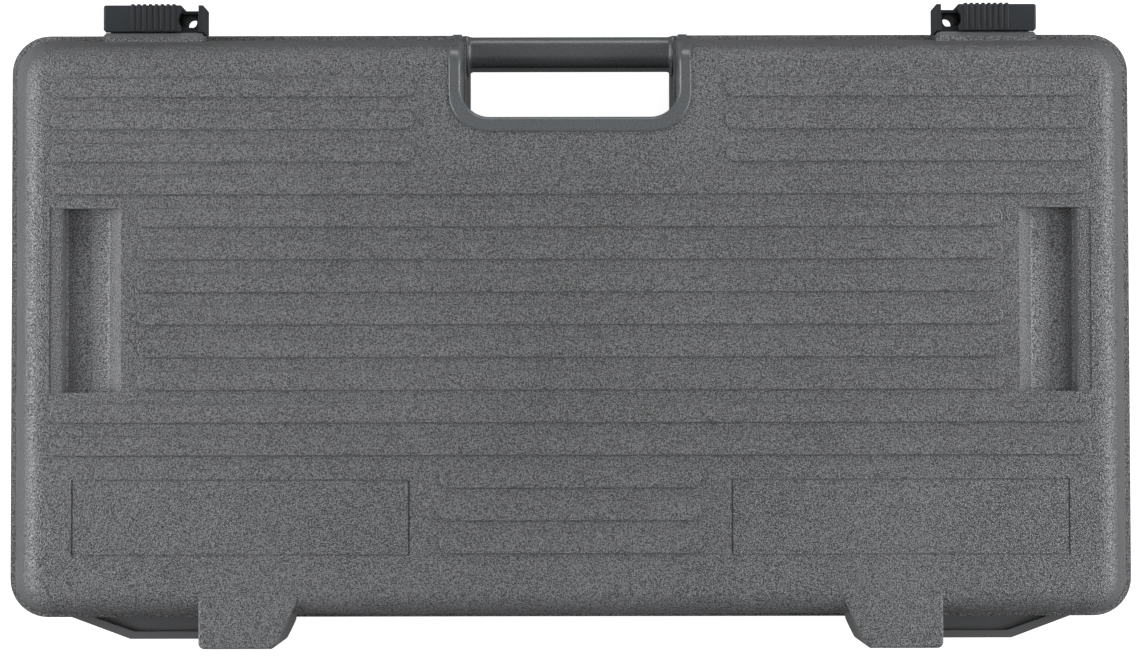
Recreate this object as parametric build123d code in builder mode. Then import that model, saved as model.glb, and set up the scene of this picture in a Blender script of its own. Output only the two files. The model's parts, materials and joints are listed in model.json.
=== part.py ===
"""Pedalboard: a moulded carrying case for effect pedals, closed and lying on its feet.

Millimetres. +X right, +Y towards the handle and latches, +Z up. The origin is the centre of the
footprint, on the surface that the case stands on.
"""
import math
import os

from build123d import *

os.makedirs("parts", exist_ok=True)

# ---- driving dimensions ----------------------------------------------------------------------
# Case outline
CASE_WIDTH = 675.0          # over the parting flange
CASE_DEPTH = 351.0          # over the parting flange, without latches and hook tabs
CASE_REACH = 191.5          # from the origin to the latch ribs, and to the hook tabs and stands
FRONT_Y = 174.1             # front edge of the parting flange
REAR_Y = FRONT_Y - CASE_DEPTH
MID_Y = (FRONT_Y + REAR_Y) / 2
FAR_Y = FRONT_Y + 30        # beyond the front, for cuts that run out of it
CORNER_R = 23.0             # corner radius in plan, at the parting line
PARTING_Z = 75.0            # top edge of the base
LID_LOW = PARTING_Z + 0.3   # bottom edge of the lid
BASE_Z = 3.0                # underside of the base, above the rubber feet
LID_Z = 149.8               # flat top of the lid
WALL = 3.0
BASE_DRAFT = 5.0            # degrees, of the base's walls
LID_DRAFT_SIDE = 14.0       # degrees, of the lid's two end walls
LID_DRAFT_FRONT = 10.0
LID_DRAFT_REAR = 3.0
LID_ROUND = 13.0            # round between the lid's top and its walls
BASE_ROUND = 10.0
FLANGE_PROUD = 2.0          # how far the parting flange stands out from the walls
FLANGE_HEIGHT = 4.5
LIP_HEIGHT = 4.0            # the base's weather lip, which stands up inside the lid
LIP_THICK = 2.0
LIP_GAP = 1.6
LIP_ROOT = 7.0

# Raised round-ended bars, in fifteen rows at one pitch
BAR_WIDTH = 12.0            # at the foot of its sloped sides
BAR_PITCH = 18.98
BAR_HEIGHT = 1.2
BAR_TAPER = 36.0            # degrees, of the bars' sloped sides
BAR_FIRST_Y = 134.8
BAR_LONG = 302.5            # half length of a full-width bar
BAR_MIDDLE = 251.7          # half length of a bar between the finger pockets
BAR_INNER = 90.9            # where a bar beside the handle starts
BAR_SHORT = 76.0            # half length of a bar between the blank panels
BAR_ROWS_HANDLE = range(0, 3)
BAR_ROWS_FULL = (3, 10, 11)
BAR_ROWS_MIDDLE = range(4, 10)
BAR_ROWS_SHORT = range(12, 15)
BOTTOM_BAR_HEIGHT = 0.8
BOTTOM_BAR_LONG = 250.0

# Finger pockets at the lid's two ends
POCKET_OUTER_X = 295.3
POCKET_INNER_X = 261.2
POCKET_RAMP = 8.0           # length of the ramp at the pocket's inner side
POCKET_RISE = 1.4           # how much the floor rises towards the ramp
POCKET_REAR_Y = -42.6
POCKET_FRONT_Y = 64.5
POCKET_DEPTH = 10.0         # at the outer wall
POCKET_LEAN = 0.6           # how far the outer wall leans in
POCKET_STRIP_X = 303.0
POCKET_STRIP_DEPTH = 0.5

# Blank outlined panels
PANEL_LENGTH = 196.5
PANEL_DEPTH = 44.4
PANEL_X = 191.6
PANEL_Y = -115.4
PANEL_GROOVE = 0.5          # depth
PANEL_GROOVE_WIDTH = 1.0

# Smooth rim round the hand opening in the lid
RIM_INNER_X = 63.4
RIM_INNER_Y = 117.7
RIM_INNER_R = 16.5
RIM_WIDTH = 7.4
RIM_WIDTH_REAR = 8.8
RIM_OUTER_R = 23.0
RIM_PROUD = 1.2
RIM_FLANGE_PROUD = 0.6      # how far the rim stands out in front of the parting flange
SLEEVE_WALL = 4.0           # the rim's wall, down through the lid
SLEEVE_GAP = 0.4            # between the liner and the relieved foot of the sleeve
RIM_EDGE = 1.1
RIM_INNER_EDGE = 2.6        # larger round, into the hand opening

# Hand opening, its liner and the grip
OPENING_X = 62.4
OPENING_Y = 123.0
OPENING_R = 10.0
LINER_WALL = 2.6
LINER_LOW = 4.0
LINER_TOP = 96.0
LINER_GAP = 0.15
GRIP_REAR_Y = 153.4
GRIP_FRONT_Y = 172.2
GRIP_LOW = 59.0
GRIP_HIGH = 93.0
GRIP_ROUND = 7.0
GRIP_WALL = 2.6
GRIP_FLARE = 3.0            # how far the grip's ends spread
GRIP_COLLAR = 1.2           # length of the spread end
GRIP_FILLET = 2.6           # hollow round between the bar and its spread end
GRIP_SCREW_X = 38.0
GRIP_POST_R = 4.0
GRIP_MID_Y = (GRIP_REAR_Y + GRIP_FRONT_Y) / 2
GRIP_MID_Z = (GRIP_LOW + GRIP_HIGH) / 2

# Hinge: round pins in the base's lugs, inside the lid's hook tabs
HINGE_Y = -184.8
HINGE_Z = 72.0
PIN_R = 2.5
PIN_LOW_X = 175.0
PIN_HIGH_X = 211.0
PIN_END_GAP = 0.5           # the bore runs on past each end of the pin
PIN_CHAMFER = 0.4
RUN_CLEARANCE = 0.05        # radial, between a pin and the lid's hooks
KNUCKLE_R = CASE_REACH + HINGE_Y
TAB_OUTER_X = 216.0
TAB_INNER_X = 159.0         # where the tab's slanted side starts, inside the lid
TAB_SLANT_Y = -164.0
TAB_TIP_X = 172.3
TAB_CORNER_R = 3.5
TAB_EDGE = 1.5
TAB_ROOT_Y = -150.0
TAB_HOLLOW_Y = -153.0
TAB_SLOT_HIGH = 86.0
LUG_LOW_X = 184.0
LUG_HIGH_X = 200.0
LUG_GAP = 1.0
LUG_R = 5.2
LUG_FOOT_Z = 60.5

# Rear stands
STAND_OUTER_X = 307.4
STAND_TIP_X = 268.2
STAND_INNER_X = 176.0
STAND_LOW = 8.0
STAND_HIGH = 58.0
STAND_WALL = 4.6
STAND_RECESS = 3.0          # depth of the tray in the stand's top
STAND_ROOT = 12.0           # how far the stand's outline reaches in under the parting flange

# Sliding latches
LATCH_OUTER_X = 280.2
LATCH_INNER_X = 233.6
LATCH_BACK_Y = 174.85
LATCH_FRONT_Y = 190.8
LATCH_LOW = 52.0
LATCH_HIGH = 96.0
LATCH_FACE = 2.3            # thickness of the slider's front plate
LATCH_FLANGE = 5.4          # thickness of its upper and lower flanges
LATCH_HOOK_Y = 183.0        # the slider's inner hooks, behind the rail's flange
LATCH_HOOK_THICK = 2.7
LATCH_HOOK_DEPTH = 4.8
LATCH_EDGE = 1.0
RIB_COUNT = 8
RIB_PITCH = 3.53
RIB_WIDTH = 1.7
RIB_FIRST_X = 237.1
RIB_LOW = 58.0
NOTCH_X = 229.0             # the slider's scooped end, clear of a padlock
NOTCH_R = 6.2

# Rails that the latches slide on, with a bored block for a padlock
BRACKET_INNER_X = 220.4
BRACKET_OUTER_X = 223.2
BRACKET_LOW = 64.0
RAIL_OUTER_X = 279.4
RAIL_BACK_Y = 174.5
RAIL_SEAT_HIGH = PARTING_Z - 0.4
RAIL_WEB_LOW = 67.0
RAIL_WEB_HIGH = 72.0
RAIL_FLANGE_Y = 186.2
RAIL_FLANGE_FRONT_Y = 188.1
RAIL_FLANGE_LOW = 58.0
RAIL_FLANGE_HIGH = 88.5
RAIL_ARM_Y = 178.0
RAIL_ARM_HIGH = 89.4
PADLOCK_X = 229.0
PADLOCK_Y = 182.0
PADLOCK_R = 3.6
PADLOCK_BLOCK_X = 234.2
PADLOCK_BLOCK_LOW = 62.8
PADLOCK_BLOCK_HIGH = 83.2
KEEPER_LOW = 80.5
KEEPER_HIGH = 94.0
KEEPER_Y = 174.4
KEEPER_LEDGE = 2.6          # depth of the smooth ledge along the keeper's front
KEEPER_STEP = 0.8           # step from the ledge up to the rest of its top
KEEPER_EDGE = 0.6
KEEPER_SCREW_Z = 85.0

# Rubber feet
FOOT_R = 11.0
FOOT_HOLE_R = 4.2
FOOT_X = 285.0
FOOT_Y = 132.0

# Screws
SCREW_R = 1.5
SCREW_HEAD_R = 3.0
SCREW_HEAD_HEIGHT = 1.8

# Foam lining
FLOOR_FOAM_LOW = 6.3
FLOOR_FOAM_HIGH = 16.0
BLOCK_FOAM_LOW = 16.4
BLOCK_FOAM_HIGH = 54.0
TRAY_X = 311.0
TRAY_FRONT_Y = 150.0
TRAY_REAR_Y = -155.0
FOAM_STRIP = 28.0
FOAM_GAP = 0.4
FOAM_ROUND = 6.0
FOAM_RIGHT_X = 248.0
HANDLE_CLEAR_X = 72.0       # clear of the hand opening's walls
HANDLE_CLEAR_Y = 112.0
LID_FOAM_X = 250.0
LID_FOAM_FRONT_Y = 104.0
LID_FOAM_REAR_Y = -144.0
LID_FOAM_LOW = 121.5
LID_FOAM_HIGH = 146.4

# Junction box
BOX_LEFT_X = 258.0
BOX_RIGHT_X = 314.0
BOX_HALF_Y = 115.0
BOX_MID_Y = -2.7
BOX_LOW = 6.05
BOX_HIGH = 54.0
BOX_WALL = 2.6
BOX_ROUND = 3.0
BOX_PLATE = 2.4
BOX_POST_R = 3.6
BOX_POST_INSET = 8.0
BOARD_INSET = 4.0           # between the box's wall of sockets and the board
BOARD_END_INSET = 14.0      # clear of the screw posts
BOARD_LOW = 16.0
BOARD_THICK = 1.6
JACK_Z = 34.0
JACK_PITCH = 30.0
JACK_FIRST_Y = -92.0
JACK_COUNT = 4
JACK_BORE_R = 3.2
JACK_BORE_LENGTH = 28.0
JACK_BUSH_R = 4.7
JACK_HALF_WIDTH = 8.0
JACK_HALF_HEIGHT = 7.0
JACK_BACK = 30.0            # from the box's wall of sockets to a jack's back
JACK_NOSE = 6.5             # how far a jack's bush stands out of the box
NUT_R = 7.4
NUT_THICK = 2.4
POWER_PITCH = 22.0
POWER_FIRST_Y = 38.0
POWER_COUNT = 3
POWER_COLLAR_R = 4.2
POWER_NOSE = 1.5            # how far a power socket's collar stands out of the box
POWER_HALF = 5.5            # half width and half height of its body
POWER_BACK = 15.0
POWER_BORE_R = 2.75
POWER_PIN_R = 1.0

SIDES = (("left", -1), ("right", 1))


# ---- shared shapes ---------------------------------------------------------------------------
def slope(draft, height):
    """How far a wall with a draft leans in over a height."""
    return height * math.tan(math.radians(draft))


def lid_front_y(inset, z):
    """Where the lid's front wall is at a height, inset from the outline at the lid's lower edge."""
    return FRONT_Y - inset - slope(LID_DRAFT_FRONT, z - LID_LOW)


def base_front_y(inset, z):
    """Where the base's front wall is at a height, inset from the outline at the parting line."""
    return FRONT_Y - inset - slope(BASE_DRAFT, PARTING_Z - z)


def lid_block(inset, top, edge_round):
    """A block inside the lid's outline, from the lid's lower edge up to a height."""
    side_lean = slope(LID_DRAFT_SIDE, top - LID_LOW)
    top_front_y = lid_front_y(inset, top)
    top_rear_y = REAR_Y + inset + slope(LID_DRAFT_REAR, top - LID_LOW)
    with BuildPart() as block:
        with BuildSketch(Plane((0, MID_Y, LID_LOW))):
            RectangleRounded(CASE_WIDTH - 2 * inset, CASE_DEPTH - 2 * inset, CORNER_R - inset)
        with BuildSketch(Plane((0, (top_front_y + top_rear_y) / 2, top))):
            RectangleRounded(
                CASE_WIDTH - 2 * (inset + side_lean),
                top_front_y - top_rear_y,
                CORNER_R - inset,
            )
        loft(ruled=True)
        fillet(block.faces().sort_by(Axis.Z)[-1].edges(), radius=edge_round)
    return block.part


def base_block(inset, bottom, edge_round):
    """A block inside the base's outline, from the parting line down to a height."""
    with BuildPart() as block:
        with BuildSketch(Plane((0, MID_Y, PARTING_Z), x_dir=(1, 0, 0), z_dir=(0, 0, -1))):
            RectangleRounded(CASE_WIDTH - 2 * inset, CASE_DEPTH - 2 * inset, CORNER_R - inset)
        extrude(amount=PARTING_Z - bottom, taper=BASE_DRAFT)
        fillet(block.faces().sort_by(Axis.Z)[0].edges(), radius=edge_round)
    return block.part


def outline_ring(outer_inset, inner_inset, low, high):
    """A band that follows the case outline between two insets."""
    with BuildPart() as ring:
        with BuildSketch(Plane((0, MID_Y, low))):
            RectangleRounded(
                CASE_WIDTH - 2 * outer_inset,
                CASE_DEPTH - 2 * outer_inset,
                CORNER_R - outer_inset,
            )
            RectangleRounded(
                CASE_WIDTH - 2 * inner_inset,
                CASE_DEPTH - 2 * inner_inset,
                CORNER_R - inner_inset,
                mode=Mode.SUBTRACT,
            )
        extrude(amount=high - low)
    return ring.part


def u_column(half_width, rear_y, corner_r, low, high, front_y=FAR_Y):
    """A column with the hand opening's U outline, closed at the rear with round corners."""
    with BuildPart() as column:
        with BuildSketch(Plane.XY.offset(low)) as outline:
            with Locations((0, (rear_y + front_y) / 2)):
                Rectangle(2 * half_width, front_y - rear_y)
            fillet(outline.vertices().group_by(Axis.Y)[0], radius=corner_r)
        extrude(amount=high - low)
    return column.part


def box_between(low, high):
    """A box between two corners."""
    with BuildPart() as box:
        with BuildSketch(Plane.XY.offset(low[2])):
            with Locations(((low[0] + high[0]) / 2, (low[1] + high[1]) / 2)):
                Rectangle(high[0] - low[0], high[1] - low[1])
        extrude(amount=high[2] - low[2])
    return box.part


def rod(start, direction, radius, length):
    """A round rod from a point along a direction."""
    with BuildPart() as round_rod:
        with BuildSketch(Plane(origin=start, z_dir=direction)):
            Circle(radius)
        extrude(amount=length)
    return round_rod.part


def screw(head_at, direction, length):
    """A pan-head screw: its head's seat is at a point, its shank runs along a direction."""
    with BuildPart() as one_screw:
        with BuildSketch(Plane(origin=head_at, z_dir=direction)):
            Circle(SCREW_R)
        extrude(amount=length)
        with BuildSketch(Plane(origin=head_at, z_dir=direction)):
            Circle(SCREW_HEAD_R)
        extrude(amount=-SCREW_HEAD_HEIGHT)
        fillet(one_screw.faces().sort_by(Axis(head_at, direction))[0].edges(), radius=0.7)
    return one_screw.part


def bar_rows():
    """Centre x, centre y and length of every raised bar on the lid."""
    rows = []
    for row in BAR_ROWS_HANDLE:
        for _, sign in SIDES:
            rows.append((sign * (BAR_INNER + BAR_LONG) / 2, row, BAR_LONG - BAR_INNER))
    rows += [(0, row, 2 * BAR_LONG) for row in BAR_ROWS_FULL]
    rows += [(0, row, 2 * BAR_MIDDLE) for row in BAR_ROWS_MIDDLE]
    rows += [(0, row, 2 * BAR_SHORT) for row in BAR_ROWS_SHORT]
    return [(x, BAR_FIRST_Y - BAR_PITCH * row, length) for x, row, length in rows]


# ---- fasteners and pins, made first because the pieces they pass through are cut round them --
def stand_screw_set(sign):
    """Two screws through a rear stand's inner wall into the base."""
    y = REAR_Y + 1.0
    return [screw((sign * x, y, 34.0), (0, 1, 0), 9.0) for x in (205.0, 255.0)]


def latch_screw_set(sign):
    """Two screws from inside the base into a latch rail."""
    z = 61.0
    y = base_front_y(FLANGE_PROUD + WALL, z)
    return [screw((sign * x, y, z), (0, 1, 0), 6.0) for x in (226.0, 272.0)]


def keeper_screw_set(sign):
    """Two screws from inside the lid into a keeper."""
    y = lid_front_y(FLANGE_PROUD + WALL, KEEPER_SCREW_Z)
    return [screw((sign * x, y, KEEPER_SCREW_Z), (0, 1, 0), 6.5) for x in (230.0, 268.0)]


def foot_places():
    """Where the four rubber feet are."""
    return [(x, MID_Y + y) for x in (-FOOT_X, FOOT_X) for y in (-FOOT_Y, FOOT_Y)]


def write_group(name, pieces):
    """Write a group of identical separate pieces as one node."""
    with BuildPart() as group:
        for piece in pieces:
            add(piece)
    group.part.label = name
    export_step(group.part, f"parts/{name}.step")


STAND_SCREWS = [one for _, sign in SIDES for one in stand_screw_set(sign)]
LATCH_SCREWS = [one for _, sign in SIDES for one in latch_screw_set(sign)]
KEEPER_SCREWS = [one for _, sign in SIDES for one in keeper_screw_set(sign)]
FOOT_SCREWS = [screw((x, y, BASE_Z), (0, 0, 1), 2.9) for x, y in foot_places()]
HANDLE_SCREWS = [
    screw((sign * GRIP_SCREW_X, GRIP_MID_Y, GRIP_LOW + GRIP_WALL), (0, 0, 1), 20.0)
    for _, sign in SIDES
]
BOX_SCREW_PLACES = [
    (x, y)
    for x in (BOX_LEFT_X + BOX_POST_INSET, BOX_RIGHT_X - BOX_POST_INSET)
    for y in (BOX_MID_Y - BOX_HALF_Y + BOX_POST_INSET, BOX_MID_Y + BOX_HALF_Y - BOX_POST_INSET)
]
BOX_SCREWS = [screw((x, y, BOX_HIGH), (0, 0, -1), 14.0) for x, y in BOX_SCREW_PLACES]

write_group("stand_screws", STAND_SCREWS)
write_group("latch_screws", LATCH_SCREWS)
write_group("keeper_screws", KEEPER_SCREWS)
write_group("foot_screws", FOOT_SCREWS)
write_group("handle_screws", HANDLE_SCREWS)
write_group("junction_box_screws", BOX_SCREWS)

for side, sign in SIDES:
    with BuildPart() as hinge_pin:
        with BuildSketch(Plane.YZ.offset(sign * PIN_LOW_X)):
            with Locations((HINGE_Y, HINGE_Z)):
                Circle(PIN_R)
        extrude(amount=sign * (PIN_HIGH_X - PIN_LOW_X))
        chamfer(hinge_pin.edges().filter_by(GeomType.CIRCLE), length=PIN_CHAMFER)
    hinge_pin.part.label = f"hinge_pin_{side}"
    export_step(hinge_pin.part, f"parts/hinge_pin_{side}.step")


# ---- lid -------------------------------------------------------------------------------------
def pocket_cut():
    """The right finger pocket: a steep outer wall, a nearly level floor and a ramp at the inner side."""
    with BuildPart() as pocket:
        with BuildSketch(Plane.XZ.offset(-POCKET_FRONT_Y)) as outline:
            Polygon(
                (POCKET_INNER_X, LID_Z),
                (POCKET_INNER_X, LID_Z + 2),
                (POCKET_OUTER_X, LID_Z + 2),
                (POCKET_OUTER_X - POCKET_LEAN, LID_Z - POCKET_DEPTH),
                (POCKET_INNER_X + POCKET_RAMP, LID_Z - POCKET_DEPTH + POCKET_RISE),
                align=None,
            )
            fillet(outline.vertices().sort_by(Axis.Y)[1], radius=POCKET_RAMP / 2)
            fillet(outline.vertices().sort_by(Axis.Y)[0], radius=2.0)
        extrude(amount=POCKET_FRONT_Y - POCKET_REAR_Y)
    return pocket.part


def pocket_back():
    """The right finger pocket's walls, on the inside of the lid."""
    with BuildPart() as back:
        with BuildSketch(Plane.XZ.offset(-POCKET_FRONT_Y - WALL)):
            with BuildLine():
                Polyline(
                    (POCKET_INNER_X - 2 * WALL, LID_Z),
                    (POCKET_OUTER_X + WALL, LID_Z),
                    (POCKET_OUTER_X + WALL, LID_Z - POCKET_DEPTH - WALL),
                    (POCKET_INNER_X + 2 * WALL, LID_Z - POCKET_DEPTH - WALL),
                    (POCKET_INNER_X - 2 * WALL, LID_Z - WALL),
                    close=True,
                )
            make_face()
        extrude(amount=POCKET_FRONT_Y - POCKET_REAR_Y + 2 * WALL)
    return back.part


def hook_tab():
    """The right hook tab: a box on the lid's rear wall that ends in a round knuckle."""
    with BuildPart() as tab:
        with BuildSketch(Plane.XY.offset(HINGE_Z - KNUCKLE_R)) as outline:
            Polygon(
                (TAB_OUTER_X, TAB_ROOT_Y),
                (TAB_OUTER_X, -CASE_REACH),
                (TAB_TIP_X, -CASE_REACH),
                (TAB_INNER_X, TAB_SLANT_Y),
                (TAB_INNER_X, TAB_ROOT_Y),
                align=None,
            )
            fillet(outline.vertices().group_by(Axis.Y)[0], radius=TAB_CORNER_R)
        extrude(amount=LID_Z - HINGE_Z + KNUCKLE_R)
        top_edges = tab.faces().sort_by(Axis.Z)[-1].edges()
        fillet(top_edges.filter_by(lambda edge: edge.center().Y < REAR_Y + 12), radius=TAB_EDGE)
        with BuildSketch(Plane.YZ.offset(TAB_INNER_X)):
            with Locations((HINGE_Y, HINGE_Z)):
                Circle(KNUCKLE_R)
            with Locations((HINGE_Y, (HINGE_Z + LID_LOW) / 2)):
                Rectangle(2 * KNUCKLE_R, LID_LOW - HINGE_Z)
            with Locations(((TAB_ROOT_Y - CASE_REACH) / 2, (LID_LOW + LID_Z) / 2)):
                Rectangle(TAB_ROOT_Y + CASE_REACH, LID_Z - LID_LOW)
        extrude(amount=TAB_OUTER_X - TAB_INNER_X, mode=Mode.INTERSECT)
    return tab.part


def hook_tab_cut():
    """What is cut out of the right hook tab: the moulded hollow, the lug's slot and the pin's bore."""
    with BuildPart() as cut:
        with BuildSketch(Plane.XY.offset(TAB_SLOT_HIGH)):
            Polygon(
                (TAB_OUTER_X - WALL, TAB_HOLLOW_Y),
                (TAB_OUTER_X - WALL, WALL - CASE_REACH),
                (TAB_TIP_X + WALL, WALL - CASE_REACH),
                (TAB_INNER_X + WALL, TAB_SLANT_Y),
                (TAB_INNER_X + WALL, TAB_HOLLOW_Y),
                align=None,
            )
        extrude(amount=LID_Z - WALL - TAB_SLOT_HIGH)
        add(box_between(
            (LUG_LOW_X - LUG_GAP, -CASE_REACH - 1, HINGE_Z - KNUCKLE_R - 1),
            (LUG_HIGH_X + LUG_GAP, HINGE_Y + KNUCKLE_R, TAB_SLOT_HIGH),
        ))
        bore_x = PIN_LOW_X - PIN_END_GAP
        bore_length = PIN_HIGH_X - PIN_LOW_X + 2 * PIN_END_GAP
        add(rod((bore_x, HINGE_Y, HINGE_Z), (1, 0, 0), PIN_R + RUN_CLEARANCE, bore_length))
    return cut.part


SLEEVE_X = RIM_INNER_X + SLEEVE_WALL
SLEEVE_Y = RIM_INNER_Y - SLEEVE_WALL
SLEEVE_R = RIM_INNER_R + SLEEVE_WALL


def lid_hollow():
    """The space inside the lid, clear of the hand opening's walls and the finger pockets."""
    with BuildPart() as hollow:
        add(lid_block(FLANGE_PROUD + WALL, LID_Z - WALL, LID_ROUND - WALL))
        add(
            u_column(SLEEVE_X + WALL, SLEEVE_Y - WALL, SLEEVE_R + WALL, LID_LOW, LID_Z),
            mode=Mode.SUBTRACT,
        )
        add(pocket_back(), mode=Mode.SUBTRACT)
        mirror(pocket_back(), about=Plane.YZ, mode=Mode.SUBTRACT)
    return hollow.part


with BuildPart() as lid_shell:
    add(lid_block(FLANGE_PROUD, LID_Z, LID_ROUND))
    add(outline_ring(0, 2 * WALL, LID_LOW, LID_LOW + FLANGE_HEIGHT))
    add(hook_tab())
    mirror(hook_tab(), about=Plane.YZ)
    add(lid_hollow(), mode=Mode.SUBTRACT)
    add(u_column(SLEEVE_X, SLEEVE_Y, SLEEVE_R, LID_LOW - 1, LID_Z + 2), mode=Mode.SUBTRACT)
    add(hook_tab_cut(), mode=Mode.SUBTRACT)
    mirror(hook_tab_cut(), about=Plane.YZ, mode=Mode.SUBTRACT)
    add(pocket_cut(), mode=Mode.SUBTRACT)
    mirror(pocket_cut(), about=Plane.YZ, mode=Mode.SUBTRACT)
    # strips between the finger pockets and the lid's rounded ends
    with BuildSketch(Plane.XY.offset(LID_Z)):
        for _, sign in SIDES:
            strip_x = sign * (POCKET_OUTER_X + POCKET_STRIP_X) / 2
            with Locations((strip_x, (POCKET_REAR_Y + POCKET_FRONT_Y) / 2)):
                Rectangle(POCKET_STRIP_X - POCKET_OUTER_X, POCKET_FRONT_Y - POCKET_REAR_Y)
    extrude(amount=-POCKET_STRIP_DEPTH, mode=Mode.SUBTRACT)
    # grooves round the blank panels
    with BuildSketch(Plane.XY.offset(LID_Z)):
        for _, sign in SIDES:
            with Locations((sign * PANEL_X, PANEL_Y)):
                Rectangle(PANEL_LENGTH, PANEL_DEPTH)
                Rectangle(
                    PANEL_LENGTH - 2 * PANEL_GROOVE_WIDTH,
                    PANEL_DEPTH - 2 * PANEL_GROOVE_WIDTH,
                    mode=Mode.SUBTRACT,
                )
    extrude(amount=-PANEL_GROOVE, mode=Mode.SUBTRACT)
    # raised bars
    with BuildSketch(Plane.XY.offset(LID_Z)):
        for x, y, length in bar_rows():
            with Locations((x, y)):
                SlotOverall(length, BAR_WIDTH)
    extrude(amount=BAR_HEIGHT, taper=BAR_TAPER)
    for piece in KEEPER_SCREWS:
        add(piece, mode=Mode.SUBTRACT)
lid_shell.part.label = "lid_shell"
export_step(lid_shell.part, "parts/lid_shell.step")


def rim_core():
    """What the rim sits on: the lid's own body outside the rim's sleeve."""
    with BuildPart() as core:
        add(lid_block(FLANGE_PROUD, LID_Z, LID_ROUND))
        add(outline_ring(0, 2 * WALL, LID_LOW, LID_LOW + FLANGE_HEIGHT))
        add(u_column(SLEEVE_X, SLEEVE_Y, SLEEVE_R, LID_LOW - 1, LID_Z + 2), mode=Mode.SUBTRACT)
    return core.part


def is_rim_inner(edge):
    """Whether an edge of the rim's top borders the hand opening."""
    middle = edge.center()
    return abs(middle.X) < RIM_INNER_X + 0.01 and middle.Y > RIM_INNER_Y - 0.01


def is_rim_outer(edge):
    """Whether an edge of the rim's top is on the rim's outline on the lid."""
    middle = edge.center()
    half_width = RIM_INNER_X + RIM_WIDTH
    corner = RIM_INNER_Y - RIM_WIDTH_REAR + RIM_OUTER_R
    return abs(middle.X) > half_width - 0.01 or middle.Y < RIM_INNER_Y - RIM_WIDTH_REAR + 0.01 or (
        abs(middle.X) > half_width - RIM_OUTER_R and middle.Y < corner
    )


with BuildPart() as lid_handle_rim:
    # the proud rim follows the lid's top and front
    add(lid_block(FLANGE_PROUD - RIM_PROUD, LID_Z + RIM_PROUD, LID_ROUND + RIM_PROUD))
    add(outline_ring(-RIM_FLANGE_PROUD, 2 * WALL, LID_LOW, LID_LOW + FLANGE_HEIGHT + RIM_FLANGE_PROUD))
    add(
        u_column(
            RIM_INNER_X + RIM_WIDTH,
            RIM_INNER_Y - RIM_WIDTH_REAR,
            RIM_OUTER_R,
            LID_LOW - 1,
            LID_Z + 2,
        ),
        mode=Mode.INTERSECT,
    )
    add(u_column(RIM_INNER_X, RIM_INNER_Y, RIM_INNER_R, LID_LOW - 1, LID_Z + 3), mode=Mode.SUBTRACT)
    add(rim_core(), mode=Mode.SUBTRACT)
    # the sleeve's foot clears the liner
    add(
        u_column(
            OPENING_X + LINER_WALL + SLEEVE_GAP,
            OPENING_Y - LINER_WALL - SLEEVE_GAP,
            OPENING_R + LINER_WALL + SLEEVE_GAP,
            LID_LOW - 1,
            LINER_TOP + 1,
        ),
        mode=Mode.SUBTRACT,
    )
    rim_top = lid_handle_rim.faces().filter_by(Axis.Z).sort_by(Axis.Z)[-1]
    rim_rear_y = RIM_INNER_Y - RIM_WIDTH_REAR - 1
    rim_edges = rim_top.edges().filter_by_position(Axis.Y, rim_rear_y, lid_front_y(LID_ROUND, LID_Z))
    fillet(rim_edges.filter_by(is_rim_inner), radius=RIM_INNER_EDGE)
    rim_top = lid_handle_rim.faces().filter_by(Axis.Z).sort_by(Axis.Z)[-1]
    rim_edges = rim_top.edges().filter_by_position(Axis.Y, rim_rear_y, lid_front_y(LID_ROUND, LID_Z))
    fillet(rim_edges.filter_by(is_rim_outer), radius=RIM_EDGE)
lid_handle_rim.part.label = "lid_handle_rim"
export_step(lid_handle_rim.part, "parts/lid_handle_rim.step")

for side, sign in SIDES:
    with BuildPart() as lid_keeper:
        with BuildSketch(Plane.YZ.offset(BRACKET_INNER_X)):
            Polygon(
                (KEEPER_Y, KEEPER_LOW),
                (KEEPER_Y, KEEPER_HIGH - KEEPER_STEP - KEEPER_EDGE),
                (KEEPER_Y - KEEPER_EDGE, KEEPER_HIGH - KEEPER_STEP),
                (KEEPER_Y - KEEPER_LEDGE, KEEPER_HIGH - KEEPER_STEP),
                (KEEPER_Y - KEEPER_LEDGE, KEEPER_HIGH),
                (lid_front_y(FLANGE_PROUD + WALL, KEEPER_HIGH), KEEPER_HIGH),
                (lid_front_y(FLANGE_PROUD + WALL, KEEPER_HIGH), KEEPER_LOW),
                align=None,
            )
        extrude(amount=LATCH_OUTER_X - BRACKET_INNER_X)
        chamfer(lid_keeper.edges().filter_by(Axis.Z).group_by(Axis.Y)[-1], length=1.5)
        add(lid_block(FLANGE_PROUD, LID_Z, LID_ROUND), mode=Mode.SUBTRACT)
        if sign < 0:
            mirror(about=Plane.YZ, mode=Mode.REPLACE)
        for piece in KEEPER_SCREWS:
            add(piece, mode=Mode.SUBTRACT)
    lid_keeper.part.label = f"lid_keeper_{side}"
    export_step(lid_keeper.part, f"parts/lid_keeper_{side}.step")

with BuildPart() as lid_foam:
    with BuildSketch(Plane.XY.offset(LID_FOAM_LOW)):
        with Locations((0, (LID_FOAM_REAR_Y + LID_FOAM_FRONT_Y) / 2)):
            RectangleRounded(2 * LID_FOAM_X, LID_FOAM_FRONT_Y - LID_FOAM_REAR_Y, FOAM_ROUND)
    extrude(amount=LID_FOAM_HIGH - LID_FOAM_LOW)
lid_foam.part.label = "lid_foam"
export_step(lid_foam.part, "parts/lid_foam.step")


# ---- base ------------------------------------------------------------------------------------
WELL_X = OPENING_X + LINER_WALL + LINER_GAP     # the base's well that the liner stands in
WELL_Y = OPENING_Y - LINER_WALL - LINER_GAP
WELL_R = OPENING_R + LINER_WALL + LINER_GAP


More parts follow.
